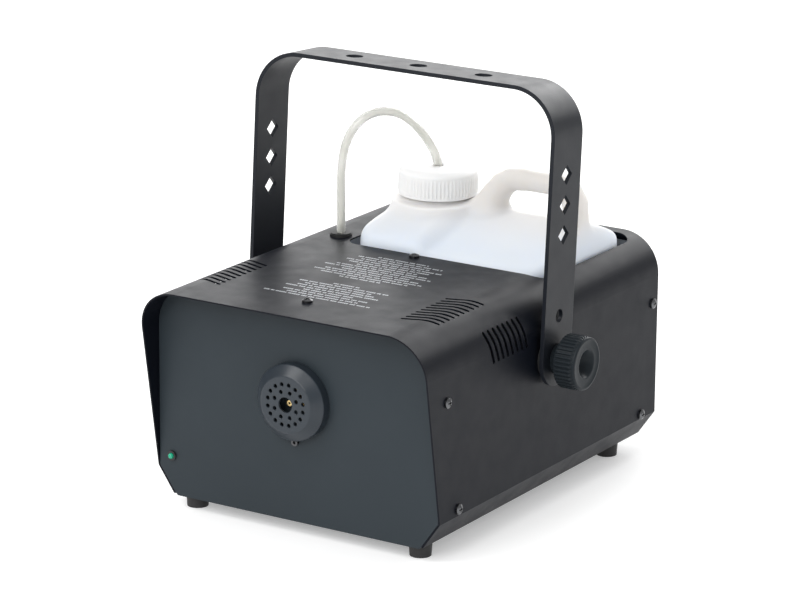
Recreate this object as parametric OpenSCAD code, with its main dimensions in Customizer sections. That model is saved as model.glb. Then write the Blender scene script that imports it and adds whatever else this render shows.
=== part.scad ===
// Portable fog machine: folded steel hood over a chassis, a swinging hanging
// bracket with two clamp knobs, a lift-out fluid bottle in a well at the back,
// a heater with a pump in the front bay, and a connector row on the rear panel.
// Millimetres, +Z up. Front faces -Y. Origin: middle of the footprint, on the
// surface the rubber feet stand on. The bracket pivots about X at y = 0.

/* [Housing] */
// Outside width of the hood
body_w = 240; // [236:0.5:246]
// Height of the hood above the underside of the base plate
body_h = 159.5; // [157:0.5:166]
// Outside radius of the two top edges of the hood
shoulder_r = 30.5; // [26:0.5:33]
// Overhang of the hood in front of the front panel, at the roof
lip = 24; // [12:1:24]
// Thickness of the sheet steel
sheet = 1.2; // [1:0.1:1.4]
// Height at which the sides start to slope in towards the base
chamfer_z = 20.5; // [19:0.5:22]

/* [Vents] */
// Width of each vent slot
slot_w = 2.8; // [2:0.1:3.2]
// Distance from one slot to the next
slot_pitch = 6.55; // [6:0.05:6.6]
// Slots in each roof group
roof_slots = 10; // [6:1:10]
// Slots in each shoulder group
side_slots = 8; // [5:1:8]

/* [Bottle] */
// Length of the bottle along X
bottle_l = 162; // [156:0.5:163]
// Width of the bottle along Y
bottle_b = 128; // [122:0.5:130]
// Outside diameter of the screw cap
cap_d = 60; // [58:0.5:62]
// Height of the screw cap
cap_h = 21; // [20:0.5:22]

/* [Hanging bracket] */
// Height of the bracket's top face above the pivot axis
bracket_h = 197; // [197:0.5:215]
// Width of the flat bar
bar_w = 40; // [34:1:40]
// Thickness of the flat bar
bar_t = 3; // [2.5:0.1:3.2]
// Backward lean of the bracket when it is parked
bracket_lean = 3.7; // [0:0.1:8]
// Distance from the middle hole to the outer holes in the bracket's top
top_hole_pitch = 55; // [45:1:60]
// Diameter of the holes in the bracket's top
top_hole_d = 13; // [11:0.5:14]

/* [Knobs and feet] */
// Diameter of the clamp knobs
knob_d = 39.6; // [34:0.2:40]
// Flutes round each clamp knob
knob_flutes = 38; // [24:1:40]
// Height of the rubber feet
foot_h = 10; // [9:0.5:12]
// Diameter of the rubber feet
foot_d = 17; // [15:0.5:20]

/* [Hidden] */
$fn = 64;
e = 0.01;
W2 = body_w / 2;
panel_y = -146;            // front face of the front panel
rear_edge = 165;           // rear edge of the hood
rear_y = 161;              // rear face of the rear panel
nozzle_z = 90.7;           // height of the nozzle axis above the base plate's underside
pivot_z = 106;             // height of the bracket pivot above the same face
slope = 12.7 / 18;         // how fast the lower sides slope in
nslope = sqrt(1 + slope * slope);
floor_z = 50;              // top of the well's floor
op_x0 = -66; op_x1 = 103.3; op_y0 = 15.5; op_y1 = 154; op_r = 12;
bx0 = -60.5; by0 = 18; bz0 = 50.3; bz1 = 185; bottle_r = 18; bshoulder = 20; bwall = 1.8;
cap_x = -24.5; cap_y = 82; cap_z1 = 210.5; neck_d = 50;
tube_r = 3.3;
grom_x = -77.7; grom_y = 30.6;
screw_pos = [[-138, 108], [-121.5, 25.7], [157, 108], [143, 24]];
feet_pos = [[-95.5, -131.5], [95.5, -131.5], [-95.5, 135.5], [95.5, 135.5]];
pin_pos = [[-77, 23], [-70, 27], [-63, 23]];   // inlet pins, across and up
arm_x = 124.5;             // inner face of the bracket's arms

// ---------- helpers ----------
module up() { translate([0, 0, foot_h]) children(); }
module rrect(x0, y0, x1, y1, r) {
  translate([x0 + r, y0]) square([x1 - x0 - 2 * r, y1 - y0]);
  translate([x0, y0 + r]) square([x1 - x0, y1 - y0 - 2 * r]);
  for (x = [x0 + r, x1 - r], y = [y0 + r, y1 - r]) translate([x, y]) circle(r = r);
}
module slot2d(a, b, w) {   // slot from a to b
  d = b - a; l = norm(d);
  translate(a) rotate(atan2(d[1], d[0])) { translate([0, -w / 2]) square([l, w]);
    circle(d = w, $fn = 24); translate([l, 0]) circle(d = w, $fn = 24); }
}
// outline across X and Z, set in from the hood's outside by i, with its bottom at zb
module profile(i, zb) {
  zt = chamfer_z + i * (nslope - 1) / slope;
  xb = W2 - i * nslope - (chamfer_z - zb) * slope;
  translate([-(W2 - i), zt]) square([2 * (W2 - i), body_h - shoulder_r - zt]);
  translate([-(W2 - shoulder_r), body_h - shoulder_r - e]) square([2 * (W2 - shoulder_r), shoulder_r - i + e]);
  for (s = [-1, 1]) translate([s * (W2 - shoulder_r), body_h - shoulder_r]) circle(r = shoulder_r - i, $fn = 96);
  polygon([[W2 - i, zt + e], [W2 - i, zt], [xb, zb], [-xb, zb], [-(W2 - i), zt], [-(W2 - i), zt + e]]);
}
module along_y(y0, y1) { translate([0, y1, 0]) rotate([90, 0, 0]) linear_extrude(y1 - y0) children(); }
module along_x(x0, x1) { translate([x0, 0, 0]) rotate([90, 0, 90]) linear_extrude(x1 - x0) children(); }
module ycyl(r, y0, y1, x = 0, z = 0) { translate([x, y1, z]) rotate([90, 0, 0]) cylinder(r = r, h = y1 - y0); }
module xcyl(r, x0, x1, y = 0, z = 0) { translate([x0, y, z]) rotate([0, 90, 0]) cylinder(r = r, h = x1 - x0); }
// pan-head screw with a cross recess: head above z = 0, shank below
module pan_screw(d, head_d, head_h, l) {
  difference() {
    union() {
      rotate_extrude($fn = 48) { square([head_d / 2, head_h * 0.45]);
        intersection() { translate([0, head_h * 0.45 - head_d * 0.9 + head_h * 0.55]) circle(r = head_d * 0.9, $fn = 96);
          translate([0, head_h * 0.44]) square([head_d / 2, head_h]); } }
      translate([0, 0, -l]) cylinder(d = d, h = l + e, $fn = 32);
    }
    for (a = [0, 90]) rotate(a) translate([-head_d * 0.28, -head_d * 0.06, head_h * 0.45]) cube([head_d * 0.56, head_d * 0.12, head_h]);
  }
}
function vsub(a, b) = a - b;
function unit(v) = v / max(norm(v), 1e-9);
// round tube swept along points: rings stand square to the path
module sweep_tube(p, r, n = 10) {
  m = len(p);
  t = [for (i = [0:m - 1]) unit(p[min(i + 1, m - 1)] - p[max(i - 1, 0)])];
  function frame(i) = i == 0 ? unit(cross(t[0], abs(t[0][0]) < 0.9 ? [1, 0, 0] : [0, 1, 0]))
    : let (u = frame(i - 1)) unit(u - t[i] * (u * t[i]));
  pts = [for (i = [0:m - 1]) let (u = frame(i), v = cross(t[i], u)) for (k = [0:n - 1])
    p[i] + r * (cos(360 * k / n) * u + sin(360 * k / n) * v)];
  faces = concat([[for (k = [0:n - 1]) k]],
    [for (i = [0:m - 2], k = [0:n - 1]) [i * n + k, (i + 1) * n + k, (i + 1) * n + (k + 1) % n, i * n + (k + 1) % n]],
    [[for (k = [n - 1:-1:0]) (m - 1) * n + k]]);
  polyhedron(pts, faces);
}
// evenly stepped smooth curve through hand-set points
function crv(p, k, t) = let (a = p[max(k - 1, 0)], b = p[k], c = p[k + 1], d = p[min(k + 2, len(p) - 1)])
  0.5 * ((2 * b) + (c - a) * t + (2 * a - 5 * b + 4 * c - d) * t * t + (3 * b - a - 3 * c + d) * t * t * t);
function smooth(p, s) = concat([for (k = [0:len(p) - 2], j = [0:s - 1]) crv(p, k, j / s)], [p[len(p) - 1]]);

// ---------- housing ----------
module vent_cuts() {
  for (s = [-1, 1]) {
    for (k = [0:roof_slots - 1]) translate([0, -129.5 + slot_pitch * k, 140]) linear_extrude(30)
      slot2d([s * 77.5, 0], [s * 101, 8.6], slot_w);
    for (k = [0:side_slots - 1]) along_x(s > 0 ? 100 : -125, s > 0 ? 125 : -100) translate([slot_pitch * k, 0])
      slot2d([-84.8, 143.5], [-75.6, 121.5], slot_w);
  }
}
module cover() up() color("dimgray") difference() {
  along_y(panel_y - lip, rear_edge) difference() {
    profile(0, sheet);
    profile(sheet, 2 * sheet);
    translate([-101.5, 0]) square([203, 2 * sheet + e]);
  }
  // slanted front edge, upright over the lower slope
  along_x(-W2 - 5, W2 + 5) polygon([[panel_y - lip - 2, -2], [panel_y, -2], [panel_y, chamfer_z],
    [panel_y - lip, body_h], [panel_y - lip, body_h + 5], [panel_y - lip - 2, body_h + 5]]);
  // the bottom flange starts behind the front panel
  translate([-105.3, panel_y - 2, 0]) cube([210.6, 3.6, 2 * sheet + 0.3]);
  translate([0, 0, 140]) linear_extrude(30) rrect(op_x0, op_y0, op_x1, op_y1, op_r);
  vent_cuts();
  for (p = screw_pos) xcyl(2.15, -W2 - 5, W2 + 5, p[0], p[1]);
  for (y = [-132, 9.5]) translate([0, y, 150]) cylinder(d = 4.3, h = 20);
  translate([grom_x, grom_y, 150]) cylinder(d = 13, h = 20);
  xcyl(4.3, -W2 - 5, W2 + 5, 0, pivot_z);
}
module chassis() up() color("dimgray") difference() {
  union() {
    translate([-103, panel_y, 0]) cube([206, rear_y - panel_y, sheet]);
    along_y(panel_y, panel_y + sheet) { profile(sheet + 0.3, 1.4); polygon([[-103, 0], [103, 0], [104.4, 1.5], [-104.4, 1.5]]); }
    for (s = [-1, 1]) translate([s * (W2 - 2.1) - 0.6, panel_y + sheet - e, 23]) cube([1.2, 30, 100]);
    translate([-80, panel_y + sheet - e, body_h - 2.5]) cube([160, 22, 1.2]);
  }
  ycyl(8, panel_y - 5, panel_y + 5, 0, nozzle_z);
  ycyl(2.6, panel_y - 5, panel_y + 5, -107.5, 29.8);
  ycyl(1.6, panel_y - 5, panel_y + 5, 0, 59.8);
  for (p = [screw_pos[0], screw_pos[1]]) xcyl(2.15, -W2, W2, p[0], p[1]);
  translate([0, -132, 150]) cylinder(d = 4.3, h = 20);
  for (p = feet_pos) translate([p[0], p[1], -1]) cylinder(d = 4.3, h = 5);
}
module rear_panel() up() color("dimgray") difference() {
  union() {
    along_y(rear_y - sheet, rear_y) { profile(sheet + 0.3, 2 * sheet + 0.1);
      translate([-101.3, sheet]) square([202.6, 2 * sheet]); }
    for (s = [-1, 1]) translate([s * (W2 - 2.1) - 0.6, rear_y - 28, 23]) cube([1.2, 28 - sheet + e, 100]);
  }
  for (p = [screw_pos[2], screw_pos[3]]) xcyl(2.15, -W2, W2, p[0], p[1]);
  translate([-84, rear_y - 5, 14.5]) cube([28, 10, 21]);
  for (x = [-90, -50]) ycyl(1.6, rear_y - 5, rear_y + 5, x, 25);
  ycyl(6.2, rear_y - 5, rear_y + 5, -22, 25);
  ycyl(4.6, rear_y - 5, rear_y + 5, 22, 25);
  translate([56.2, rear_y - 5, 13.2]) cube([13.6, 10, 23.6]);
  for (k = [0:8]) along_y(rear_y - 5, rear_y + 5) translate([-32 + 8 * k, 0]) slot2d([0, 80], [0, 112], 3);
}
module bottle_well() up() color("gray") difference() {
  union() {
    translate([-68, op_y0 - 1.5, floor_z - 1]) cube([172.5, op_y1 - op_y0 + 3, 105]);
    translate([-64, op_y0 - 17, body_h - 2.5]) cube([140, 17, 1.2]);
    translate([-68, op_y0 - 1.5, floor_z]) cube([140, op_y1 - op_y0 + 3, body_h - 1.3 - floor_z]);
  }
  translate([-67, op_y0 - 0.5, floor_z]) cube([170.5, op_y1 - op_y0 + 1, 120]);
  translate([0, 9.5, 150]) cylinder(d = 4.3, h = 20);
}
module feet() color("#1c1c1c") for (p = feet_pos) translate([p[0], p[1], 0]) difference() {
  cylinder(d1 = foot_d - 1.4, d2 = foot_d, h = foot_h);
  translate([0, 0, -1]) cylinder(d = 8.6, h = 5);
  cylinder(d = 4.3, h = 20, $fn = 32);
}
module foot_screws() color("silver") for (p = feet_pos) translate([p[0], p[1], 4]) mirror([0, 0, 1]) pan_screw(4, 7.6, 2.4, 12);
module foot_nuts() up() color("silver") for (p = feet_pos) translate([p[0], p[1], sheet]) difference() {
  cylinder(d = 8.08, h = 3.2, $fn = 6);
  translate([0, 0, -1]) cylinder(d = 4.06, h = 6, $fn = 32);
}
module side_screws() up() color("silver") for (s = [-1, 1], p = screw_pos)
  translate([s * W2, p[0], p[1]]) rotate([0, s * 90, 0]) pan_screw(4, 7.8, 2.5, 8);
module clip_nuts() up() color("silver") for (s = [-1, 1], p = screw_pos)
  translate([s * (W2 - 3.9) - 1.2, p[0], p[1]]) difference() {
    translate([0, -5.3, -5]) cube([2.4, 8, 10]);
    translate([-1, 0, 0]) rotate([0, 90, 0]) cylinder(d = 4.06, h = 5, $fn = 32);
  }
module roof_screws() up() color("#222222") for (y = [-132, 9.5]) translate([0, y, body_h]) pan_screw(4, 7.8, 2.6, 8);

// ---------- front ----------
module nozzle_shroud() up() color("#3c4248") translate([0, panel_y, nozzle_z]) rotate([90, 0, 0]) difference() {
  rotate_extrude($fn = 96) polygon([[0, 0], [28.2, 0], [28.2, 7.1], [27.9, 7.6], [21.1, 13.6], [20.5, 13.8], [0, 13.8]]);
  translate([0, 0, -1]) cylinder(r = 18.4, h = 12.8);
  translate([0, 0, -1]) cylinder(r = 25.4, h = 7.5);
  translate([0, 0, 5]) cylinder(d = 11.2, h = 20);
  for (k = [0:15]) rotate(22.5 * k + 11.25) translate([15.1, 0, 5]) cylinder(d = 3.1, h = 20, $fn = 24);
  for (k = [0:7]) rotate(45 * k + 22.5) translate([9.8, 0, 5]) cylinder(d = 3.1, h = 20, $fn = 24);
}
module panel_screw() up() color("#333333") translate([0, panel_y, 59.8]) rotate([90, 0, 0]) difference() {
  union() { cylinder(d = 5.2, h = 2.4); translate([0, 0, -5]) cylinder(d = 3, h = 6); }
  translate([0, 0, 1]) cylinder(d = 2.6, h = 4, $fn = 6);
}
module fog_nozzle() up() color("goldenrod") difference() {
  union() {
    ycyl(7, -138, -124.2, 0, nozzle_z);
    translate([0, -133, nozzle_z]) rotate([90, 0, 0]) cylinder(d = 15, h = 6, $fn = 6);
    ycyl(4.5, -147, -130, 0, nozzle_z);
    translate([0, -147 + e, nozzle_z]) rotate([90, 0, 0]) cylinder(r1 = 4.5, r2 = 2.1, h = 3);
    ycyl(2.1, -154.4, -149, 0, nozzle_z);
  }
  ycyl(0.9, -160, -120, 0, nozzle_z);
}
module led_bezel() up() color("#2a2a2a") translate([-107.5, panel_y, 29.8]) rotate([90, 0, 0]) difference() {
  union() { cylinder(d = 7.2, h = 1.6); translate([0, 0, -6]) cylinder(d = 5.1, h = 7); }
  translate([0, 0, -7]) cylinder(d = 4.2, h = 12, $fn = 40);
}
module led_lens() up() color("mediumseagreen") translate([-107.5, panel_y, 29.8]) rotate([90, 0, 0]) {
  translate([0, 0, -8]) cylinder(d = 4.1, h = 10, $fn = 40);
  intersection() { translate([0, 0, 2]) sphere(d = 4.1, $fn = 40); translate([-5, -5, 1.9]) cube([10, 10, 10]); }
}

// ---------- fluid line ----------
module tube_grommet() up() color("#161616") translate([grom_x, grom_y, 0]) rotate_extrude($fn = 64) difference() {
  union() {
    translate([3.55, body_h - 3.2]) square([4.3, 3.6 + sheet]);
    translate([3.55, body_h]) square([4.9, 1.6]);
    translate([3.55, body_h + 1.6 - e]) square([4.1, 0.9]);
  }
  translate([6.4, body_h - sheet]) square([5, sheet]);
}
// route of the clear tube: out of the pump, up through the grommet, over and into the cap
tube_route = [[-92, 30.6, 104], [-91, 30.6, 116], [-84, 30.6, 134], [-78.5, 30.6, 148], [-77.7, 30.6, 160], [-77.7, 30.6, 176],
  [-77.8, 30.6, 192], [-77.8, 30.7, 206], [-77, 31.4, 219], [-75, 33.3, 231], [-71, 37.2, 241.5], [-65, 43.1, 249.4],
  [-58, 49.8, 253], [-51, 56.5, 252.8], [-45, 62.3, 250], [-39, 68.1, 243.8], [-33.5, 73.4, 235.3], [-29, 77.8, 226], [-26, 80.7, 217.5], [-24.6, 82, 210], [-24.5, 82, 207]];
module fluid_tube() up() color("whitesmoke") sweep_tube(smooth(tube_route, 3), tube_r, 10);
module pickup_tube() up() color("whitesmoke") difference() {
  translate([cap_x, cap_y, 76]) cylinder(r = tube_r, h = 130, $fn = 32);
  translate([cap_x, cap_y, 70]) cylinder(r = 2.2, h = 150, $fn = 32);
}
module pickup_filter() up() color("gainsboro") translate([cap_x, cap_y, 0]) difference() {
  union() { translate([0, 0, 54]) cylinder(d = 15, h = 20); translate([0, 0, 73.9]) cylinder(d = 9, h = 8); }
  translate([0, 0, 76]) cylinder(r = tube_r + 0.05, h = 10, $fn = 32);
  for (k = [0:5]) rotate(60 * k) translate([3, -1, 57]) cube([6, 2, 14]);
}

// ---------- bottle ----------
module bottle_solid(i) {
  x0 = bx0 + i; x1 = bx0 + bottle_l - i; y0 = by0 + i; y1 = by0 + bottle_b - i; z0 = bz0 + i; z1 = bz1 - i;
  r = bshoulder - i;
  intersection() {
    translate([0, 0, z0]) linear_extrude(z1 - z0) rrect(x0, y0, x1, y1, bottle_r - i);
    along_y(y0 - 1, y1 + 1) { translate([x0, z0]) square([x1 - x0, z1 - z0 - r]);
      translate([x0 + r, z0]) square([x1 - x0 - 2 * r, z1 - z0]);
      for (x = [x0 + r, x1 - r]) translate([x, z1 - r]) circle(r = r); }
    along_x(x0 - 1, x1 + 1) { translate([y0, z0]) square([y1 - y0, z1 - z0 - r]);
      translate([y0 + r, z0]) square([y1 - y0 - 2 * r, z1 - z0]);
      for (y = [y0 + r, y1 - r]) translate([y, z1 - r]) circle(r = r); }
  }
}
module bottle() up() color("aliceblue") difference() {
  union() {
    difference() {
      union() {
        bottle_solid(0);
        // handle: a bar on two legs, in line with the bottle
        along_y(75, 93) difference() {
          polygon([[6, 176], [10, 190], [22, 208], [33, 217.5], [88, 217.5], [98, 211], [101.2, 202], [101.2, 160], [90, 150], [6, 150]]);
          translate([0, 0]) rrect(35, 185, 84, 201.5, 7.5);
          translate([35, 150]) square([49, 36]);
        }
        translate([cap_x, cap_y, 180]) cylinder(d = 53, h = 8);
        translate([cap_x, cap_y, 180]) cylinder(d = neck_d, h = 25);
      }
      bottle_solid(bwall);
    }
  }
  translate([cap_x, cap_y, 178]) cylinder(d = 43, h = 40);
}
module bottle_cap() up() color("white") translate([cap_x, cap_y, cap_z1 - cap_h]) difference() {
  union() {
    cylinder(d = cap_d, h = cap_h - 3);
    translate([0, 0, cap_h - 3 - e]) cylinder(d1 = cap_d, d2 = cap_d - 6, h = 3 + e);
    for (k = [0:59]) rotate(6 * k) translate([cap_d / 2 - 0.15, 0, 0.8]) cylinder(r = 0.55, h = cap_h - 4.4, $fn = 12);
  }
  translate([0, 0, -1]) cylinder(d = neck_d + 0.2, h = cap_h - 2.5 + 1);
  cylinder(d = 10, h = 40);
}
module cap_liner() up() color("whitesmoke") translate([cap_x, cap_y, cap_z1 - 4.4]) difference() {
  cylinder(d = 49.6, h = 1.8);
  translate([0, 0, -1]) cylinder(d = 12, h = 5);
}

// ---------- hanging bracket ----------
module bracket() up() color("#3b3f42") translate([0, 0, pivot_z]) rotate([-bracket_lean, 0, 0]) {
  h = bracket_h; ro = 35.6; xo = arm_x + bar_t;
  difference() {
    union() {
      along_y(-bar_w / 2, bar_w / 2) difference() {
        union() {
          translate([-xo, 0]) square([2 * xo, h - ro]);
          translate([-xo + ro, 0]) square([2 * (xo - ro), h]);
          for (s = [-1, 1]) translate([s * (xo - ro), h - ro]) circle(r = ro, $fn = 96);
        }
        translate([-arm_x, -1]) square([2 * arm_x, h - ro + 1]);
        translate([-arm_x + ro - bar_t, -1]) square([2 * (arm_x - ro + bar_t), h - bar_t + 1]);
        for (s = [-1, 1]) translate([s * (xo - ro), h - ro]) circle(r = ro - bar_t, $fn = 96);
      }
      for (s = [-1, 1]) xcyl(bar_w / 2, s > 0 ? arm_x : -xo, s > 0 ? xo : -arm_x);
    }
    xcyl(4.03, -150, 150);
    xcyl(4.9, -150, 150, 0, 31.5);
    for (z = [90.8, 112.6, 134.4]) translate([0, 0, z]) rotate([45, 0, 0]) cube([300, 10.4, 10.4], center = true);
    for (x = [-top_hole_pitch, 0, top_hole_pitch]) translate([x, 0, h - 10]) cylinder(d = top_hole_d, h = 20);
  }
}
module knob(s) up() color("#30353a") translate([s * (arm_x + bar_t + 0.1), 0, pivot_z]) rotate([0, s * 90, 0]) difference() {
  union() {
    cylinder(d = 22, h = 7);
    translate([0, 0, 6.5]) cylinder(d1 = knob_d - 7, d2 = knob_d - 1.2, h = 1);
    translate([0, 0, 7.4]) linear_extrude(14.6) difference() {
      circle(d = knob_d, $fn = 96);
      for (k = [0:knob_flutes - 1]) rotate(360 * k / knob_flutes) translate([knob_d / 2 + 0.35, 0]) circle(r = 1.15, $fn = 16);
    }
    translate([0, 0, 21.9]) cylinder(d = knob_d - 2.4, h = 0.8);
    translate([0, 0, 22.6]) cylinder(d = knob_d - 0.8, h = 1.2);
    translate([0, 0, 23.7]) cylinder(d1 = knob_d - 0.8, d2 = knob_d - 2.6, h = 1);
  }
  translate([0, 0, 16]) cylinder(d1 = 9, d2 = 21, h = 9);
  translate([0, 0, -1]) cylinder(d = 8, h = 14.2);
}
module knob_right() knob(1);
module knob_left() knob(-1);
module stud(s) up() color("silver") xcyl(3.95, s > 0 ? 106 : -(arm_x + 16), s > 0 ? arm_x + 16 : -106, 0, pivot_z);
module stud_right() stud(1);
module stud_left() stud(-1);
module friction_washers() up() color("#202020") for (s = [-1, 1]) translate([s * 122.25 - 2.1, 0, pivot_z]) rotate([0, 90, 0]) difference() {
  cylinder(d = 30, h = 4.2);
  translate([0, 0, -1]) cylinder(d = 8.6, h = 8);
}
module pivot_nuts() up() color("silver") for (s = [-1, 1]) translate([s * 114.7 - 4, 0, pivot_z]) rotate([0, 90, 0]) difference() {
  cylinder(d = 15, h = 8, $fn = 6);
  translate([0, 0, -1]) cylinder(d = 8.02, h = 12);
}

// ---------- heater ----------
module heater_block() up() color("silver") difference() {
  union() {
    ycyl(27, -124, -22, 0, nozzle_z);
    translate([-20, -124, nozzle_z - 31]) cube([40, 102, 18]);
  }
  for (x = [-12, 12]) ycyl(5.02, -110, -20, x, nozzle_z - 18);
  ycyl(3.2, -125, -20, 0, nozzle_z);
}
module heater_cartridges() up() color("lightsteelblue") for (x = [-12, 12]) {
  ycyl(4.98, -109, -20, x, nozzle_z - 18);
  ycyl(1.5, -20 - e, -10, x, nozzle_z - 18);
}
module heater_jacket() up() color("gainsboro") difference() {
  union() { ycyl(37, -122, -24, 0, nozzle_z); translate([-30, -122, nozzle_z - 40]) cube([60, 98, 40]); }
  ycyl(27.2, -126, -20, 0, nozzle_z);
  translate([-20.2, -126, nozzle_z - 31.2]) cube([40.4, 110, 30]);
}
module heater_brackets() up() color("lightgray") for (y = [-112, -38]) translate([0, y, 0]) difference() {
  union() {
    translate([-38, 0, sheet]) cube([76, 1.5, nozzle_z - 42]);
    translate([-38, 0, sheet]) cube([76, 14, 1.5]);
    translate([-30, 0, nozzle_z - 41.6]) cube([60, 14, 1.5]);
  }
  translate([-20, -1, 12]) cube([40, 4, 22]);
}
module disc_switch(x, z) up() translate([x, 0, z]) {
  ycyl(8, -21.9, -17); ycyl(6, -17 - e, -11);
  for (s = [-1, 1]) translate([s * 4 - 1.5, -11 - e, -0.4]) cube([3, 8, 0.8]);
}
module thermostat() color("tan") disc_switch(-13, nozzle_z + 12);
module thermal_cutout() color("sienna") disc_switch(13, nozzle_z + 12);
feed_route = [[-92, 30.6, 21], [-92, 30.6, 16], [-92, 20, 12], [-92, 4, 12], [-80, -10, 12], [-60, -14, 20], [-48, -14, 45], [-40, -12, 75], [-24, -11, 88], [-8, -11, 90.7], [-2, -13, 90.7], [0, -17, 90.7], [0, -21.6, 90.7]];
module feed_pipe() up() color("peru") sweep_tube(smooth(feed_route, 3), 2.6, 10);

// ---------- pump ----------
module pump_coil() up() color("#25303a") difference() {
  translate([-109, 13.6, 34]) cube([34, 34, 42]);
  translate([-92, 30.6, 30]) cylinder(d = 17.1, h = 60);
}
module pump_barrel() up() color("goldenrod") translate([-92, 30.6, 0]) difference() {
  union() {
    translate([0, 0, 30]) cylinder(d = 17, h = 50);
    translate([0, 0, 22.1]) cylinder(d = 9, h = 8);
    translate([0, 0, 79.9]) cylinder(d = 12, h = 8);
    translate([0, 0, 87.8]) cylinder(d1 = 7, d2 = 5, h = 16);
  }
  translate([0, 0, 40]) cylinder(d = 12, h = 36);
  translate([0, 0, 20]) cylinder(d = 3, h = 90, $fn = 32);
}
module pump_plunger() up() color("lightgray") translate([-92, 30.6, 0]) difference() {
  translate([0, 0, 59.5]) cylinder(d = 11.9, h = 16);
  translate([0, 0, 50]) cylinder(d = 4, h = 30, $fn = 32);
}
module pump_spring() up() color("silver") translate([-92, 30.6, 0])
  sweep_tube([for (k = [0:72]) [4.4 * cos(30 * k), 4.4 * sin(30 * k), 41 + 17.5 * k / 72]], 0.5, 6);
module pump_bracket() up() color("lightgray") difference() {
  union() {
    translate([-101, 12, sheet]) cube([26, 37, 1.5]);
    translate([-109, 12, 32.4]) cube([34, 37, 1.5]);
    translate([-101, 47.5, sheet]) cube([26, 1.5, 32.7]);
  }
  translate([-92, 30.6, 20]) cylinder(d = 17.3, h = 20);
}

// ---------- electrics ----------
module control_board() up() color("darkgreen") difference() {
  translate([50, -104, 14]) cube([50, 92, 1.6]);
  for (x = [54, 96], y = [-100, -16]) translate([x, y, 10]) cylinder(d = 3.2, h = 10, $fn = 32);
}
module board_standoffs() up() color("gold") for (x = [54, 96], y = [-100, -16]) translate([x, y, sheet]) {
  cylinder(d = 6, h = 12.8, $fn = 6); translate([0, 0, 12.7]) cylinder(d = 3, h = 4, $fn = 32); }
module board_components() up() {
  color("#1f3f9f") translate([56, -92, 15.6]) cube([20, 16, 16]);
  color("#222222") translate([58, -66, 15.6]) cube([30, 26, 24]);
  color("seagreen") translate([54, -32, 15.6]) cube([38, 10, 10]);
  color("black") for (y = [-84, -74]) translate([88, y, 15.6]) cylinder(d = 8, h = 14, $fn = 32);
}
loom_route = [[64, 118, 25], [64, 112, 26], [64, 100, 22], [68, 80, 14], [80, 50, 10], [90, 20, 10], [92, 2, 18], [86, -8, 26], [78, -18, 32], [74, -22, 33]];
heat_route = [[56, -27, 29], [50, -18, 34], [40, -8, 48], [28, -4, 64], [18, -5, 70], [12.5, -9, 72.6]];
module wiring_loom() up() color("#303030") {
  sweep_tube(smooth(loom_route, 3), 3, 8);
  sweep_tube(smooth(heat_route, 3), 2, 8);
}
module power_inlet() up() color("#181818") difference() {
  union() {
    translate([-83.8, rear_y - 26, 14.7]) cube([27.6, 26, 20.6]);
    translate([-95, rear_y, 13.5]) cube([50, 3, 23]);
  }
  translate([-82.3, rear_y - 14, 16.9]) cube([24.6, 30, 16.2]);
  for (p = pin_pos) translate([p[0] - 1, rear_y - 32, p[1] - 2]) cube([2, 28, 4]);
  for (x = [-90, -50]) ycyl(1.75, rear_y - 5, rear_y + 5, x, 25);
}
module inlet_pins() up() color("silver") for (p = pin_pos)
  translate([p[0] - 1, rear_y - 32, p[1] - 2]) cube([2, 28, 4]);
module inlet_screws() up() color("#333333") for (x = [-90, -50]) translate([x, rear_y + 3, 25]) rotate([-90, 0, 0]) pan_screw(3, 5.6, 1.8, 8);
module fuse_holder() up() color("#181818") difference() {
  union() { ycyl(6.1, rear_y - 34, rear_y + 1, -22, 25); ycyl(8.5, rear_y, rear_y + 2.2, -22, 25); }
  ycyl(4.2, rear_y - 30, rear_y + 10, -22, 25);
}
module fuse_cap() up() color("#242424") difference() {
  union() { ycyl(7, rear_y + 2.3, 170, -22, 25); ycyl(4.14, rear_y - 8, rear_y + 4, -22, 25); }
  translate([-22.8, 168.6, 18]) cube([1.6, 5, 14]);
}
module remote_socket() up() color("#202020") difference() {
  union() {
    translate([14, rear_y - 26, 17]) cube([16, 26 - sheet, 16]);
    ycyl(4.5, rear_y - 3, rear_y + 5, 22, 25);
    translate([22, rear_y + 3, 25]) rotate([90, 0, 0]) cylinder(d = 14, h = 3 - e, $fn = 6);
  }
  ycyl(3.25, rear_y - 22, rear_y + 10, 22, 25);
}
module switch_body() up() color("#141414") {
  difference() {
    union() {
      translate([56.4, rear_y - 18, 13.4]) cube([13.2, 18, 23.2]);
      translate([54.5, rear_y, 11.5]) cube([17, 2, 27]);
    }
    translate([58, rear_y - 8, 15.5]) cube([10, 12, 19]);
  }
  xcyl(1.47, 57.5, 68.5, rear_y - 3, 25);
}
module switch_rocker() up() color("#1b1b1b") translate([63, rear_y - 3, 25]) rotate([-9, 0, 0]) along_x(-4.9, 4.9)
  difference() { polygon([[-3.5, -7], [3.2, -8.8], [6.3, -8.6], [4.5, 0], [6.3, 8.6], [3.2, 8.8], [-3.5, 7]]); circle(r = 1.52, $fn = 32); }
module earth_stud() up() color("gold") translate([-93, 120, sheet]) {
  cylinder(d = 4, h = 12, $fn = 32); cylinder(d = 8.08, h = 3.2, $fn = 6); translate([0, 0, 5]) cylinder(d = 8.08, h = 3, $fn = 6); }

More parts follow.
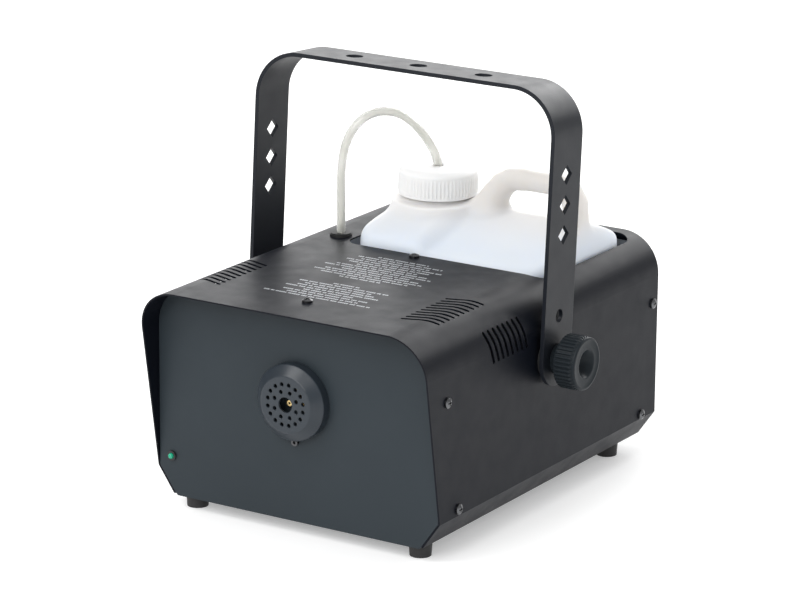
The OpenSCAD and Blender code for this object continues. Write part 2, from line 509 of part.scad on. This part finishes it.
cover();
chassis();
rear_panel();
bottle_well();
feet();
foot_screws();
foot_nuts();
side_screws();
clip_nuts();
roof_screws();
nozzle_shroud();
panel_screw();
fog_nozzle();
led_bezel();
led_lens();
tube_grommet();
fluid_tube();
pickup_tube();
pickup_filter();
bottle();
bottle_cap();
cap_liner();
bracket();
knob_right();
knob_left();
stud_right();
stud_left();
friction_washers();
pivot_nuts();
heater_block();
heater_cartridges();
heater_jacket();
heater_brackets();
thermostat();
thermal_cutout();
feed_pipe();
pump_coil();
pump_barrel();
pump_plunger();
pump_spring();
pump_bracket();
control_board();
board_standoffs();
board_components();
wiring_loom();
power_inlet();
inlet_pins();
inlet_screws();
fuse_holder();
fuse_cap();
remote_socket();
switch_body();
switch_rocker();
earth_stud();
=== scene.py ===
import bpy, bmesh, math, random
import numpy as np
from mathutils import Matrix, Vector


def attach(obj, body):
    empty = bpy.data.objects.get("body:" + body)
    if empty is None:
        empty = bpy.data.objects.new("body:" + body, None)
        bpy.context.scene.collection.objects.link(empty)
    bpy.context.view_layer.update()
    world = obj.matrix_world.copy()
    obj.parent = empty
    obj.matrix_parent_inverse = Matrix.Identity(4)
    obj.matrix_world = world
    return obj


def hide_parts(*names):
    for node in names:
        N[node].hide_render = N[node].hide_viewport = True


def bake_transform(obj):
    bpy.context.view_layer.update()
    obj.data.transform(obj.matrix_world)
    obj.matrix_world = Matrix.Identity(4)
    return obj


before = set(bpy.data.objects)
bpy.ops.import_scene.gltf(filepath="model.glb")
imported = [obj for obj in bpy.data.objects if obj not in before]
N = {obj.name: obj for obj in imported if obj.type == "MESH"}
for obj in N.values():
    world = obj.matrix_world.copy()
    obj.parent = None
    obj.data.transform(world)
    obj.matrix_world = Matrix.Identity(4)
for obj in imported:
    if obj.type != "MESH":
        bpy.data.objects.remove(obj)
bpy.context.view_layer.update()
MM = 0.001


# ------------------------------------------------------------------ helpers
def build(name, verts, faces, smooth=True):
    me = bpy.data.meshes.new(name)
    me.from_pydata([tuple(map(float, v)) for v in verts], [], [tuple(map(int, f)) for f in faces])
    me.validate()
    me.update()
    if smooth:
        me.polygons.foreach_set("use_smooth", [True] * len(me.polygons))
    ob = bpy.data.objects.new(name, me)
    bpy.context.scene.collection.objects.link(ob)
    return ob


def outward(ob):
    bm = bmesh.new()
    bm.from_mesh(ob.data)
    bmesh.ops.recalc_face_normals(bm, faces=bm.faces)
    bm.to_mesh(ob.data)
    bm.free()
    return ob


def polar(name, rings, n, place):
    """Closed grid of rings round an axis. rings is a list of (radius array or number, height); place maps (x, y, h) arrays to points."""
    a = np.arange(n) * 2 * math.pi / n
    pts, faces = [], []
    for r, h in rings:
        rr = np.broadcast_to(np.asarray(r, float), (n,))
        pts.append(place(rr * np.cos(a), rr * np.sin(a), np.full(n, float(h))))
    v = np.concatenate(pts)
    for i in range(len(rings) - 1):
        for k in range(n):
            k2 = (k + 1) % n
            faces.append((i * n + k, i * n + k2, (i + 1) * n + k2, (i + 1) * n + k))
    return v, faces


def arc(cx, cz, r, a0, a1, steps):
    return [(cx + r * math.cos(math.radians(a0 + (a1 - a0) * i / steps)), cz + r * math.sin(math.radians(a0 + (a1 - a0) * i / steps))) for i in range(steps + 1)]


def sharp_by_angle(ob, deg=40):
    bm = bmesh.new()
    bm.from_mesh(ob.data)
    for e in bm.edges:
        e.smooth = not (len(e.link_faces) == 2 and e.calc_face_angle(0) > math.radians(deg))
    bm.to_mesh(ob.data)
    bm.free()


# ------------------------------------------------------------------ camera
cam = bpy.data.objects.new("camera", bpy.data.cameras.new("camera"))
bpy.context.scene.collection.objects.link(cam)
bpy.context.scene.camera = cam
R_, U_, F_ = (0.8456961, 0.5335941, 0.008684), (-0.1562801, 0.2320646, 0.9600638), (-0.5102691, 0.8132794, -0.2796463)
C_ = (1.4155433, -2.2655327, 0.9170196)
cam.matrix_world = Matrix([[R_[i], U_[i], -F_[i], C_[i]] for i in range(3)] + [[0, 0, 0, 1]])
cam.data.lens, cam.data.sensor_width, cam.data.clip_start, cam.data.clip_end = 170.7, 36, 0.05, 60

# ------------------------------------------------------------------ the feed tube
ROUTE = [[-92, 30.6, 104], [-91, 30.6, 116], [-84, 30.6, 134], [-78.5, 30.6, 148], [-77.7, 30.6, 160], [-77.7, 30.6, 176],
         [-77.8, 30.6, 192], [-77.8, 30.7, 206], [-77, 31.4, 219], [-75, 33.3, 231], [-71, 37.2, 241.5], [-65, 43.1, 249.4],
         [-58, 49.8, 253], [-51, 56.5, 252.8], [-45, 62.3, 250], [-39, 68.1, 243.8], [-33.5, 73.4, 235.3], [-29, 77.8, 226],
         [-26, 80.7, 217.5], [-24.6, 82, 210], [-24.5, 82, 207]]


def catmull(p, s):
    p = [np.array(q, float) for q in p]
    out = []
    for k in range(len(p) - 1):
        a, b, c, d = p[max(k - 1, 0)], p[k], p[k + 1], p[min(k + 2, len(p) - 1)]
        for j in range(s):
            t = j / s
            out.append(0.5 * (2 * b + (c - a) * t + (2 * a - 5 * b + 4 * c - d) * t * t + (3 * b - a - 3 * c + d) * t ** 3))
    return np.array(out + [p[-1]])


def tube(name, pts, ro, ri, n=28):
    t = np.gradient(pts, axis=0)
    t /= np.linalg.norm(t, axis=1)[:, None]
    u = np.cross(t[0], [0, 1, 0.01])
    us = []
    for i in range(len(pts)):
        u = u - t[i] * (u @ t[i])
        u /= np.linalg.norm(u)
        us.append(u.copy())
    us = np.array(us)
    vs = np.cross(t, us)
    ang = np.arange(n) * 2 * math.pi / n
    shells = []
    for r in ([ro, ri] if ri else [ro]):
        shells.append((pts[:, None, :] + r * (np.cos(ang)[None, :, None] * us[:, None, :] + np.sin(ang)[None, :, None] * vs[:, None, :])).reshape(-1, 3))
    m = len(pts)
    faces = []
    for i in range(m - 1):
        for k in range(n):
            k2 = (k + 1) % n
            faces.append((i * n + k, i * n + k2, (i + 1) * n + k2, (i + 1) * n + k))
            if ri:
                o = m * n
                faces.append((o + i * n + k2, o + i * n + k, o + (i + 1) * n + k, o + (i + 1) * n + k2))
    for i in (0, m - 1):
        if ri:
            for k in range(n):
                k2 = (k + 1) % n
                f = (i * n + k, m * n + i * n + k, m * n + i * n + k2, i * n + k2)
                faces.append(f if i == 0 else f[::-1])
        else:
            f = tuple(range(i * n, (i + 1) * n))
            faces.append(f[::-1] if i == 0 else f)
    return outward(build(name, np.concatenate(shells), faces))


route = catmull(ROUTE, 6)
route[:, 2] += 10
cut = int(np.argmin(np.abs(route[:, 2] - 171.0) + (route[:, 0] > -76) * 100 + (np.arange(len(route)) > 40) * 100))
free = route[cut:] * MM
hose = tube("feed_tube", free, 3.3 * MM, 2.25 * MM)
hose_in = tube("feed_tube_inside", route[:cut + 1] * MM, 3.3 * MM, 2.25 * MM)
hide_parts("fluid_tube")
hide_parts("fluid_tube")
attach(hose_in, "housing")
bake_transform(hose)


# ------------------------------------------------------------------ materials
class Mat:
    def __init__(self, name):
        self.m = bpy.data.materials.new(name)
        self.m.use_nodes = True
        self.t = self.m.node_tree
        self.t.nodes.clear()
        self.out = self.add("ShaderNodeOutputMaterial")
        self.p = self.add("ShaderNodeBsdfPrincipled")
        self.link(self.p, "BSDF", self.out, "Surface")
        self.co = self.add("ShaderNodeTexCoord")

    def add(self, kind):
        return self.t.nodes.new(kind)

    def link(self, a, ao, b, bi):
        self.t.links.new(a.outputs[ao], b.inputs[bi])

    def noise(self, scale, detail=3, rough=0.5, stretch=None):
        n = self.add("ShaderNodeTexNoise")
        n.inputs["Scale"].default_value = scale
        n.inputs["Detail"].default_value = detail
        n.inputs["Roughness"].default_value = rough
        if stretch:
            mp = self.add("ShaderNodeMapping")
            mp.inputs["Scale"].default_value = stretch
            self.link(self.co, "Object", mp, "Vector")
            self.link(mp, "Vector", n, "Vector")
        else:
            self.link(self.co, "Object", n, "Vector")
        return n

    def vary(self, scale, lo, hi, socket, f0=0.3, f1=0.7, **kw):
        n = self.noise(scale, **kw)
        r = self.add("ShaderNodeMapRange")
        r.inputs["From Min"].default_value, r.inputs["From Max"].default_value = f0, f1
        r.inputs["To Min"].default_value, r.inputs["To Max"].default_value = lo, hi
        self.link(n, "Fac", r, "Value")
        self.link(r, "Result", self.p, socket)
        return r

    def colour(self, scale, a, b, f0=0.3, f1=0.7, **kw):
        n = self.noise(scale, **kw)
        r = self.add("ShaderNodeValToRGB")
        r.color_ramp.elements[0].position, r.color_ramp.elements[1].position = f0, f1
        r.color_ramp.elements[0].color, r.color_ramp.elements[1].color = (*a, 1), (*b, 1)
        self.link(n, "Fac", r, "Fac")
        self.link(r, "Color", self.p, "Base Color")
        return r

    def bump(self, layers, strength=1.0, edge=0.0):
        """layers: (scale, height in metres, detail[, stretch]); edge is the radius of a softened edge"""
        prev = None
        if edge:
            prev = self.add("ShaderNodeBevel")
            prev.samples = 6
            prev.inputs["Radius"].default_value = edge
        for s, h, d, *st in layers:
            n = self.noise(s, d, 0.55, st[0] if st else None)
            b = self.add("ShaderNodeBump")
            b.inputs["Strength"].default_value = strength
            b.inputs["Distance"].default_value = h
            self.link(n, "Fac", b, "Height")
            if prev:
                self.link(prev, "Normal", b, "Normal")
            prev = b
        self.link(prev, "Normal", self.p, "Normal")
        return prev

    def set(self, **kw):
        for k, v in kw.items():
            self.p.inputs[k.replace("_", " ")].default_value = v
        return self


def srgb(r, g, b):
    return tuple((c / 255 / 12.92) if c / 255 <= 0.04045 else ((c / 255 + 0.055) / 1.055) ** 2.4 for c in (r, g, b))


def scaled(c, k):
    return tuple(x * k for x in c)


def coat(name, c, rough, grain=1300, h=0.00004, wide=0.0, spec=0.3, edge=0.0005):
    m = Mat(name)
    m.colour(9, scaled(c, 0.93), scaled(c, 1.07), detail=4)
    m.vary(70, rough - 0.035, rough + 0.035, "Roughness")
    layers = [(grain, h, 2)]
    if wide:
        layers.append((22, wide, 2))
    m.bump(layers, edge=edge)
    m.p.inputs["Specular IOR Level"].default_value = spec
    return m.m


def metal(name, c, rough, grain=900, h=0.00002, stretch=None, lo=0.9):
    m = Mat(name)
    m.colour(60, scaled(c, lo), c, detail=4)
    m.vary(180, rough - 0.06, rough + 0.08, "Roughness")
    m.bump([(grain, h, 3, stretch) if stretch else (grain, h, 3)])
    m.p.inputs["Metallic"].default_value = 1.0
    return m.m


def plastic(name, c, rough, grain=1100, h=0.00003, spec=0.5, var=0.06):
    m = Mat(name)
    m.colour(25, scaled(c, 1 - var), scaled(c, 1 + var), detail=3)
    m.vary(120, rough - 0.04, rough + 0.04, "Roughness")
    m.bump([(grain, h, 2)])
    m.p.inputs["Specular IOR Level"].default_value = spec
    return m.m


hood = coat("hood_powder_coat", srgb(13, 16, 24), 0.42, spec=0.12)
front = coat("panel_powder_coat", srgb(42, 49, 54), 0.5, spec=0.2)
barp = coat("bracket_powder_coat", srgb(25, 28, 34), 0.40, spec=0.2)
shroudp = coat("shroud_satin_black", srgb(40, 47, 54), 0.34, spec=0.4, grain=1600, h=0.00002, edge=0.0012)
zinc = metal("galvanised", (0.42, 0.43, 0.45), 0.42, grain=140, h=0.00002)
bright = metal("zinc_plate", (0.62, 0.62, 0.6), 0.3)
darkmetal = metal("black_zinc", (0.1, 0.1, 0.105), 0.32)
screwm = metal("side_screw_zinc", (0.14, 0.143, 0.15), 0.28)
brass = metal("turned_brass", (0.78, 0.58, 0.27), 0.28)
copper = metal("copper_pipe", (0.72, 0.36, 0.22), 0.3)
cast = metal("cast_aluminium", (0.55, 0.55, 0.56), 0.5, grain=420, h=0.0001)
rubber = plastic("rubber", srgb(30, 30, 31), 0.6, grain=800, h=0.00005)
knobm = plastic("glass_filled_nylon", srgb(33, 38, 42), 0.4, grain=1400, h=0.00003, spec=0.1)
fitting = plastic("moulded_fitting", srgb(24, 24, 25), 0.33)
coil = plastic("coil_plastic", srgb(28, 34, 46), 0.35)
board = plastic("solder_mask", srgb(18, 84, 48), 0.3, grain=300, h=0.00003, var=0.2)
comp = plastic("component_plastic", srgb(40, 42, 50), 0.35, var=0.3)
wire = plastic("wire_sleeve", srgb(34, 34, 35), 0.5)
ceramic = plastic("glazed_ceramic", srgb(196, 180, 150), 0.25)


def fabric_wrap():
    m = Mat("glass_wrap")
    m.colour(160, srgb(188, 180, 158), srgb(226, 220, 202), detail=4)
    m.vary(60, 0.8, 0.95, "Roughness")
    w = m.add("ShaderNodeTexWave")
    w.inputs["Scale"].default_value = 160
    w.inputs["Distortion"].default_value = 1.5
    m.link(m.co, "Object", w, "Vector")
    b = m.add("ShaderNodeBump")
    b.inputs["Distance"].default_value = 0.0006
    m.link(w, "Fac", b, "Height")
    m.link(b, "Normal", m.p, "Normal")
    return m.m


def bottle_mat():
    m = Mat("milky_polythene")
    # painted light: the walls get a blue tint that is a painted reflection, and between about 0.178 m and 0.208 m
    # height (with a noisy edge) the colour blends to a warmer grey that is painted shading of the shoulder and top
    wall_reflection_tint = m.colour(14, (0.67, 0.72, 0.79), (0.70, 0.745, 0.80), detail=2)
    sep = m.add("ShaderNodeSeparateXYZ")
    m.link(m.co, "Object", sep, "Vector")
    wave = m.noise(9, detail=2)
    shade_boundary_height = m.add("ShaderNodeMath")
    shade_boundary_height.operation = "MULTIPLY_ADD"
    shade_boundary_height.inputs[1].default_value = 0.012
    m.link(wave, "Fac", shade_boundary_height, 0)
    m.link(sep, "Z", shade_boundary_height, 2)
    h = m.add("ShaderNodeMapRange")
    h.interpolation_type = "SMOOTHSTEP"
    h.inputs["From Min"].default_value, h.inputs["From Max"].default_value = 0.178, 0.208
    m.link(shade_boundary_height, "Value", h, "Value")
    mix = m.add("ShaderNodeMix")
    mix.data_type = "RGBA"
    m.link(h, "Result", mix, "Factor")
    reflection_tint_input = [i for i in mix.inputs if i.name == "A" and i.type == "RGBA"][0]
    top_shade_input = [i for i in mix.inputs if i.name == "B" and i.type == "RGBA"][0]
    # painted shade colour of the shoulder and top
    top_shade_input.default_value = (0.71, 0.69, 0.67, 1)
    m.t.links.new(wall_reflection_tint.outputs["Color"], reflection_tint_input)
    m.t.links.new([o for o in mix.outputs if o.type == "RGBA"][0], m.p.inputs["Base Color"])
    m.vary(40, 0.34, 0.44, "Roughness")
    m.bump([(18, 0.0006, 2), (500, 0.00002, 2)])
    m.set(Subsurface_Weight=1.0, Subsurface_Scale=0.012, IOR=1.45)
    m.p.inputs["Subsurface Radius"].default_value = (1.0, 0.95, 0.85)
    m.p.inputs["Specular IOR Level"].default_value = 0.22
    return m.m


def cap_mat():
    m = Mat("white_polypropylene")
    m.colour(30, (0.83, 0.83, 0.825), (0.87, 0.865, 0.86), detail=2)
    m.vary(60, 0.42, 0.5, "Roughness")
    m.bump([(900, 0.00002, 2)])
    m.set(Subsurface_Weight=0.6, Subsurface_Scale=0.004)
    m.p.inputs["Specular IOR Level"].default_value = 0.2
    m.p.inputs["Subsurface Radius"].default_value = (1.0, 0.95, 0.9)
    return m.m


def tube_mat():
    m = Mat("clear_pvc")
    m.colour(45, (0.86, 0.86, 0.82), (0.94, 0.94, 0.91), detail=2)
    m.vary(90, 0.1, 0.17, "Roughness")
    m.bump([(120, 0.00005, 2)])
    m.set(Transmission_Weight=0.7, IOR=1.36)
    return m.m


def led_mat():
    m = Mat("green_epoxy")
    m.colour(300, (0.01, 0.34, 0.2), (0.03, 0.5, 0.32), detail=2)
    m.vary(200, 0.08, 0.14, "Roughness")
    m.bump([(900, 0.00001, 2)])
    m.set(Transmission_Weight=0.35, IOR=1.5)
    m.p.inputs["Emission Color"].default_value = (0.01, 0.5, 0.25, 1)
    m.p.inputs["Emission Strength"].default_value = 0.12
    return m.m


wrap, milk, capm, pvc, led = fabric_wrap(), bottle_mat(), cap_mat(), tube_mat(), led_mat()
USE = {
    hood: ["cover", "rear_panel"], front: ["chassis"], barp: ["bracket"], shroudp: ["nozzle_shroud"],
    zinc: ["bottle_well", "heater_brackets", "pump_bracket", "clip_nuts"],
    bright: ["foot_screws", "foot_nuts", "stud_right", "stud_left", "pivot_nuts", "heater_cartridges", "pump_plunger", "pump_spring", "inlet_pins"],
    darkmetal: ["roof_screws", "inlet_screws", "panel_screw"], screwm: ["side_screws"],
    brass: ["fog_nozzle", "pump_barrel", "board_standoffs", "earth_stud"], copper: ["feed_pipe"], cast: ["heater_block"],
    rubber: ["feet", "tube_grommet", "friction_washers"], knobm: ["knob_right", "knob_left"],
    fitting: ["power_inlet", "fuse_holder", "fuse_cap", "remote_socket", "switch_body", "switch_rocker", "led_bezel"],
    coil: ["pump_coil"], board: ["control_board"], comp: ["board_components"], wire: ["wiring_loom"], ceramic: ["thermostat", "thermal_cutout"],
    wrap: ["heater_jacket"], milk: ["bottle"], capm: ["bottle_cap", "cap_liner", "pickup_filter"], pvc: ["fluid_tube", "pickup_tube"], led: ["led_lens"]}
for m, names in USE.items():
    for n in names:
        N[n].data.materials.clear()
        N[n].data.materials.append(m)
missing = sorted(set(N) - {n for v in USE.values() for n in v})
assert not missing, missing
for o in (hose, hose_in):
    o.data.materials.append(pvc)


# ------------------------------------------------------------------ the bottle, from a distance field
def smin(a, b, k):
    h = np.clip(0.5 + 0.5 * (b - a) / k, 0, 1)
    return b * (1 - h) + a * h - k * h * (1 - h)


def surface_nets(f, lo, step):
    """Quads round the zero level of a grid of distances."""
    s = f < 0
    nx, ny, nz = f.shape
    cs = [(i, j, k) for i in (0, 1) for j in (0, 1) for k in (0, 1)]
    cnt = sum(s[i:nx - 1 + i, j:ny - 1 + j, k:nz - 1 + k].astype(np.int8) for i, j, k in cs)
    act = (cnt > 0) & (cnt < 8)
    idx = -np.ones(act.shape, np.int64)
    cells = np.argwhere(act)
    idx[act] = np.arange(len(cells))
    acc, num = np.zeros((len(cells), 3)), np.zeros(len(cells))
    for a in cs:
        for d in range(3):
            if a[d]:
                continue
            b = list(a)
            b[d] = 1
            fa = f[cells[:, 0] + a[0], cells[:, 1] + a[1], cells[:, 2] + a[2]]
            fb = f[cells[:, 0] + b[0], cells[:, 1] + b[1], cells[:, 2] + b[2]]
            x = (fa < 0) != (fb < 0)
            t = np.where(x, fa / np.where(np.abs(fa - fb) < 1e-12, 1, fa - fb), 0)
            p = np.tile(np.array(a, float), (len(cells), 1))
            p[:, d] += t
            acc[x] += p[x]
            num += x
    verts = np.array(lo) + step * (cells + acc / num[:, None])
    faces = []
    for d in range(3):
        u, v = (d + 1) % 3, (d + 2) % 3
        sl0, sl1 = [slice(None)] * 3, [slice(None)] * 3
        sl0[d], sl1[d] = slice(0, -1), slice(1, None)
        x = s[tuple(sl0)] != s[tuple(sl1)]
        e = np.argwhere(x)
        e = e[(e[:, u] > 0) & (e[:, v] > 0) & (e[:, u] < f.shape[u] - 1) & (e[:, v] < f.shape[v] - 1)]
        ins = s[e[:, 0], e[:, 1], e[:, 2]]
        q = []
        for du, dv in ((1, 1), (0, 1), (0, 0), (1, 0)):
            c = e.copy()
            c[:, u] -= du
            c[:, v] -= dv
            q.append(idx[c[:, 0], c[:, 1], c[:, 2]])
        q = np.stack(q, 1)
        q[~ins] = q[~ins][:, ::-1]
        faces.append(q)
    return verts, np.concatenate(faces)


def round_cone(X, Y, Z, a, b, ra, rb, sy):
    ax, ay, az = a
    d = np.array(b, float) - np.array(a, float)
    d[1] /= sy
    px, py, pz = X - ax, (Y - ay) / sy, Z - az
    t = np.clip((px * d[0] + py * d[1] + pz * d[2]) / (d @ d), 0, 1)
    return np.sqrt((px - t * d[0]) ** 2 + (py - t * d[1]) ** 2 + (pz - t * d[2]) ** 2) - (ra + (rb - ra) * t)


STEP = 1.35
lo = (-66.0, 12.0, 54.0)
g = [np.arange(lo[i], hi, STEP) for i, hi in enumerate((108.0, 152.0, 234.0))]
X, Y, Z = np.meshgrid(*g, indexing="ij")


dx = np.abs(X - 20.5) - (81.0 - 18.0)
dy = np.abs(Y - 82.0) - (64.0 - 18.0)
plan = np.sqrt(np.maximum(dx, 0) ** 2 + np.maximum(dy, 0) ** 2) + np.minimum(np.maximum(dx, dy), 0) - 18.0


def cap_off(plan, dz, r):
    """Rounded edge of radius r between the walls and a flat end dz."""
    u, w = plan + r, dz + r
    return np.sqrt(np.maximum(u, 0) ** 2 + np.maximum(w, 0) ** 2) + np.minimum(np.maximum(u, w), 0) - r


# w runs from 0 on the neck's side to 1 on the handle's side of the moulding crease
w = np.clip((X - (13 + (Y - 74) * 11 / 56) + 14) / 20, 0, 1)
w = w * w * (3 - 2 * w)
body = np.maximum(cap_off(plan, Z - 194.5, 25.0 - 11.0 * w), cap_off(plan, 60.4 - Z, 7.0))
# the top falls away from the handle's ridge to the front and the back, less so under the neck
back = np.clip((Y - 84) / 20, 0, 1)
slope = ((Z - 194.5) + 0.43 * (np.abs(Y - 84) - 8)) * 0.918 - (1 - w) * (6.5 - 3.5 * back)
body = -smin(-body, -slope, 7)
RN = np.sqrt((X + 24.5) ** 2 + (Y - 82) ** 2)
# the shoulder swells a little towards the neck, then the neck ring and the neck
f = smin(body, np.maximum(RN - 34.0, np.abs(Z - 186.5) - 8.6), 9)
f = smin(f, np.maximum(RN - 27.4, np.abs(Z - 190) - 8.6), 1.6)
f = np.minimum(f, np.maximum(RN - 24.9, np.abs(Z - 200) - 14.9))
# handle: left leg, bar, right leg
H = [((16, 84, 182), 17.5, 1.0), ((21, 84, 195), 13.2, 0.96), ((24.5, 84, 204), 10.2, 0.98), ((30.5, 84, 212.6), 9.0, 1.0), ((38, 84, 217.9), 8.1, 1.08), ((47, 84, 219.3), 7.8, 1.12),
     ((80, 84, 219.1), 7.8, 1.12), ((88.2, 84, 215.8), 8.2, 1.1), ((92.6, 84, 207.5), 8.8, 1.1), ((92.9, 84, 197), 8.9, 1.15), ((92.6, 84, 180), 9.2, 1.3)]
han = None
for (a, ra, _), (b, rb, sy) in zip(H[:-1], H[1:]):
    c = round_cone(X, Y, Z, a, b, ra, rb, sy)
    han = c if han is None else smin(han, c, 3)
f = smin(f, han, 8)
# shallow moulding crease from the handle's foot down to the front wall
p0, p1 = np.array([13.0, 74.0]), np.array([2.0, 18.0])
dd = (p1 - p0) / np.linalg.norm(p1 - p0)
side = (X - p0[0]) * dd[1] - (Y - p0[1]) * dd[0]
f = f + 0.5 * np.exp(-(side / 3.2) ** 2) * np.clip((72 - Y) / 14, 0, 1) * np.clip((Z - 155) / 20, 0, 1)
v, q = surface_nets(f, lo, STEP)
lim_lo, lim_hi = np.array([-60.5, 18.0, 60.3]), np.array([101.5, 146.0, 227.5])
v = np.clip(v, lim_lo, lim_hi)
bottle = outward(build("bottle_body", v * MM, q))
bottle.data.materials.append(milk)
sm = bottle.modifiers.new("smooth", "SMOOTH")
sm.factor, sm.iterations = 0.5, 4
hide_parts("bottle")
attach(bottle, "bottle")

# ------------------------------------------------------------------ the cap
NR = 64
n = NR * 14
a = np.arange(n) * 2 * math.pi / n
rib = (0.5 + 0.5 * np.cos(a * NR)) ** 1.4
prof = [(25.2, 1.0), (25.2, 0.2), (25.6, 0.0), (29.4, 0.0), (29.9, 0.25), (30.1, 0.8)]
rings = [(r, z) for r, z in prof]
for i in range(15):
    t = i / 14
    z = 1.4 + 14.4 * t
    lift = min(1, t * 9, (1 - t) * 6)
    rings.append((29.75 - 0.35 * t + 0.55 * lift * rib, z))
for i in range(1, 13):
    t = math.radians(90 * i / 12)
    rings.append((21.4 + 8.0 * math.cos(t), 16.2 + 4.6 * math.sin(t)))
rings += [(16, 20.95), (10, 21.0), (5.6, 20.95), (5.3, 20.9), (4.2, 20.9), (3.75, 20.6), (3.6, 20.0), (3.6, 18.4), (25.2, 18.4), (25.2, 1.0)]
rings = [(r, z) for r, z in rings]
v, faces = polar("cap", rings, n, lambda x, y, h: np.stack([x - 24.5, y + 82, h + 199.5], 1))
cap = outward(build("screw_cap", v * MM, faces))
bmx = bmesh.new(); bmx.from_mesh(cap.data); bmesh.ops.remove_doubles(bmx, verts=bmx.verts, dist=1e-7); bmx.to_mesh(cap.data); bmx.free()
sharp_by_angle(cap, 50)
cap.data.materials.append(capm)
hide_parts("bottle_cap")
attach(cap, "cap")

# ------------------------------------------------------------------ the clamp knobs
def knob(s):
    nf = 38
    n = nf * 16
    a = np.arange(n) * 2 * math.pi / n
    w = np.clip(0.5 + 0.95 * np.cos(a * nf), 0, 1) ** 0.8
    rings = [(4.2, 0.0), (10.6, 0.0), (11.0, 0.4), (11.0, 6.4), (11.6, 7.0), (16.0, 7.0), (17.6, 7.15)]
    for i in range(17):
        t = i / 16
        z = 7.4 + 14.4 * t
        k = min(1, t * 14, (1 - t) * 14)
        rings.append((18.55 + 1.25 * (math.sqrt(k) * w), z))
    rings += [(18.5, 22.0), (18.35, 22.15), (18.35, 22.6), (18.9, 22.75), (19.35, 23.0), (19.4, 23.7), (19.15, 24.2), (18.6, 24.55), (17.6, 24.7), (17.2, 24.62),
              (16.8, 24.4), (12.0, 24.3), (11.1, 24.3), (10.6, 24.15), (10.2, 23.8), (7.4, 19.6), (4.9, 16.6), (4.5, 16.3), (0.01, 16.2)]
    x0 = (124.5 + 3 + 0.1)
    v, faces = polar("knob", rings, n, lambda x, y, h: np.stack([s * (x0 + h), y, x * s + 116.0], 1))
    m = len(rings)
    faces.append(tuple(range(n)))
    faces.append(tuple(range((m - 1) * n, m * n)))
    ob = outward(build("clamp_knob_right" if s > 0 else "clamp_knob_left", v * MM, faces))
    sharp_by_angle(ob, 48)
    ob.data.materials.append(knobm)
    nm = "knob_right" if s > 0 else "knob_left"
    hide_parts(nm)
    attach(ob, nm)


knob(1)
knob(-1)

# ------------------------------------------------------------------ printed legend on the roof: plain dashes, no letters
rng = random.Random(7)
verts, faces = [], []


def dash(x0, x1, y0, y1):
    z0, z1 = 169.5, 169.53
    b = len(verts)
    verts.extend([(x0, y0, z0), (x1, y0, z0), (x1, y1, z0), (x0, y1, z0), (x0, y0, z1), (x1, y0, z1), (x1, y1, z1), (x0, y1, z1)])
    faces.extend([(b, b + 3, b + 2, b + 1), (b + 4, b + 5, b + 6, b + 7), (b, b + 1, b + 5, b + 4), (b + 1, b + 2, b + 6, b + 5), (b + 2, b + 3, b + 7, b + 6), (b + 3, b, b + 4, b + 7)])


def legend(y_front, rows):
    for i, half in enumerate(rows):
        y = y_front + 4.75 * i
        x = -half + rng.uniform(-2, 2)
        left = rng.randint(2, 6)
        while x < half:
            w = rng.uniform(0.85, 1.5)
            dash(x, x + w, y, y + 1.95)
            left -= 1
            x += w + (0.5 if left else 1.7)
            if not left:
                left = rng.randint(2, 7)


legend(-121, [44, 30, 36, 21, 40, 33, 27, 38, 12])
legend(-64, [17, 36, 45, 40, 30, 44, 38, 26, 34, 41, 30, 37, 22])
printed = build("roof_legend", np.array(verts) * MM, faces, smooth=False)
pm = plastic("legend_ink", srgb(176, 180, 184), 0.5, grain=1500, h=0.00002)
printed.data.materials.append(pm)
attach(printed, "housing")

# ------------------------------------------------------------------ studio
floor = build("studio_floor", [(-9, -9, 0), (9, -9, 0), (9, 9, 0), (-9, 9, 0)], [(0, 1, 2, 3)], smooth=False)
fm = Mat("pale_floor")
fm.colour(0.5, (0.80, 0.80, 0.80), (0.81, 0.81, 0.81))
fm.p.inputs["Emission Color"].default_value = (1, 1, 1, 1)
fm.p.inputs["Emission Strength"].default_value = 0.34
fm.vary(3, 0.7, 0.8, "Roughness")
fm.bump([(200, 0.00005, 2)])
floor.data.materials.append(fm.m)
sc = bpy.context.scene
sc.world = bpy.data.worlds.new("studio")
sc.world.use_nodes = True
bg = sc.world.node_tree.nodes["Background"]
bg.inputs["Color"].default_value = (1, 1, 1, 1)
bg.inputs["Strength"].default_value = 0.5
sc.view_settings.view_transform = "Standard"
sc.view_settings.look = "None"


def area(name, loc, target, size, power, col=(1, 1, 1)):
    l = bpy.data.lights.new(name, "AREA")
    l.shape, l.size, l.size_y, l.energy, l.color = "RECTANGLE", size[0], size[1], power, col
    o = bpy.data.objects.new(name, l)
    sc.collection.objects.link(o)
    o.location = loc
    o.rotation_euler = (Vector(target) - Vector(loc)).to_track_quat("-Z", "Y").to_euler()
    return o


area("top_softbox", (-0.1, 0.3, 2.4), (0, 0, 0.1), (1.8, 1.8), 7)
area("back_softbox", (0.5, 3.4, 1.9), (0, 0, 0.15), (3.4, 1.5), 90)
area("back_left_card", (-1.6, 3.1, 1.15), (0, 0, 0.16), (3.3, 1.25), 36)
area("front_softbox", (0.3, -3.0, 1.9), (0, 0, 0.15), (1.6, 1.2), 50)
area("left_softbox", (-2.4, 0.4, 1.1), (0, 0, 0.15), (1.4, 1.2), 6)
area("front_high_softbox", (-0.8, -1.6, 2.2), (0, 0, 0.12), (1.4, 1.2), 30)
